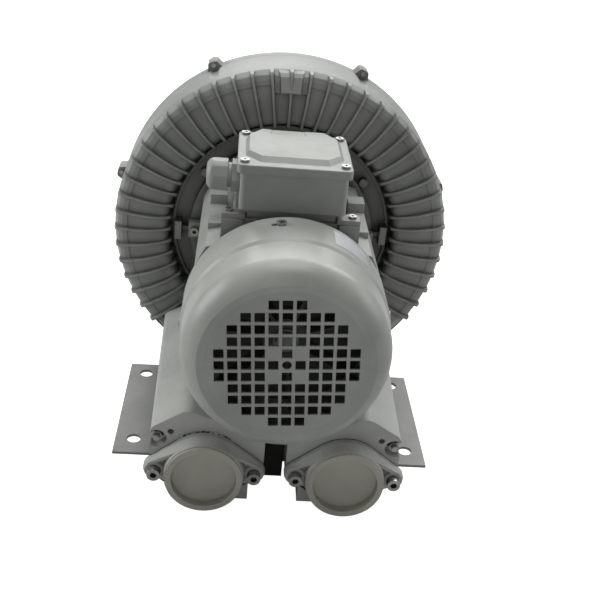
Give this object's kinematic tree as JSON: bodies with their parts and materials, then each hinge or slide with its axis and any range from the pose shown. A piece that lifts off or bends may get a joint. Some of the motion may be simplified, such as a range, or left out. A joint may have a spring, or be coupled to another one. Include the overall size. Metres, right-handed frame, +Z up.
{
  "type": "side channel blower",
  "caption": "Motor-driven side channel blower: finned ring casing on a finned motor, two silencer ducts with capped ports beneath it, terminal box on top and a flat foot plate.",
  "frame": {"origin": "centre of the four foot holes, on the underside of the foot plate", "axes": "+Z up; +Y along the motor shaft from the fan cowl to the ring casing; +X to the right seen from the fan cowl"},
  "size_m": [0.3855, 0.3905, 0.3785],
  "materials": {
    "casing_paint": "satin grey paint over cast aluminium",
    "frame_paint": "satin grey paint over cast aluminium",
    "silencer_paint": "satin light grey paint over cast aluminium",
    "cowl_paint": "satin light grey paint on sheet steel",
    "box_paint": "satin light grey paint over cast aluminium",
    "plate_paint": "satin grey paint on steel plate",
    "cap_plastic": "moulded pale grey plastic",
    "gland_plastic": "moulded grey nylon",
    "fan_plastic": "moulded black plastic",
    "board_plastic": "moulded black thermoset",
    "black_rubber": "matt black rubber",
    "gasket_fibre": "dark gasket sheet",
    "zinc_steel": "zinc plated",
    "bright_steel": "ground steel",
    "lamination_steel": "stacked sheet steel",
    "bare_aluminium": "as cast",
    "copper": "varnished copper wire",
    "brass": "turned brass",
    "absorber_foam": "open cell foam"
  },
  "bodies": {
    "blower": {"absorber_left": "absorber_foam", "absorber_right": "absorber_foam", "blower_housing": "casing_paint", "box_base": "box_paint", "box_gasket": "black_rubber", "box_lid": "box_paint", "box_screws": "zinc_steel", "casing_bolts": "zinc_steel", "casing_gasket": "gasket_fibre", "cowl_screws": "zinc_steel", "drive_bearing_outer": "bright_steel", "duct_pad": "black_rubber", "end_shield": "frame_paint", "fan_bearing_outer": "bright_steel", "fan_cowl": "cowl_paint", "flange_gasket_left": "black_rubber", "flange_gasket_right": "black_rubber", "flange_screws": "zinc_steel", "foot_plate": "plate_paint", "foot_screws": "zinc_steel", "frame_screws": "zinc_steel", "front_cover": "casing_paint", "gland_body": "gland_plastic", "gland_nut": "gland_plastic", "gland_seal": "black_rubber", "lid_screws": "zinc_steel", "motor_frame": "frame_paint", "port_flange_left": "silencer_paint", "port_flange_right": "silencer_paint", "shaft_seal": "black_rubber", "shield_screws": "zinc_steel", "silencer_body_left": "silencer_paint", "silencer_body_right": "silencer_paint", "stator_core": "lamination_steel", "stator_windings": "copper", "terminal_board": "board_plastic", "terminal_studs": "brass", "tie_nuts": "zinc_steel", "tie_studs": "zinc_steel", "wave_washer": "bright_steel"},
    "rotor": {"impeller": "bare_aluminium", "motor_shaft": "bright_steel", "impeller_key": "bright_steel", "impeller_washer": "zinc_steel", "impeller_nut": "zinc_steel", "rotor_core": "lamination_steel", "cooling_fan": "fan_plastic", "fan_clip": "bright_steel", "drive_bearing_inner": "bright_steel", "fan_bearing_inner": "bright_steel"},
    "left_cap": {"port_cap_left": "cap_plastic"},
    "right_cap": {"port_cap_right": "cap_plastic"}
  },
  "joints": [
    {"name": "rotor_spin", "type": "hinge", "parent": "blower", "child": "rotor", "pos_m": [0, 0, 0.19], "axis": [0, -1, 0], "continuous": true},
    {"name": "left_cap_pull", "type": "slide", "parent": "blower", "child": "left_cap", "axis": [0, -1, 0], "range_m": [0, 0.06]},
    {"name": "right_cap_pull", "type": "slide", "parent": "blower", "child": "right_cap", "axis": [0, -1, 0], "range_m": [0, 0.06]}
  ]
}
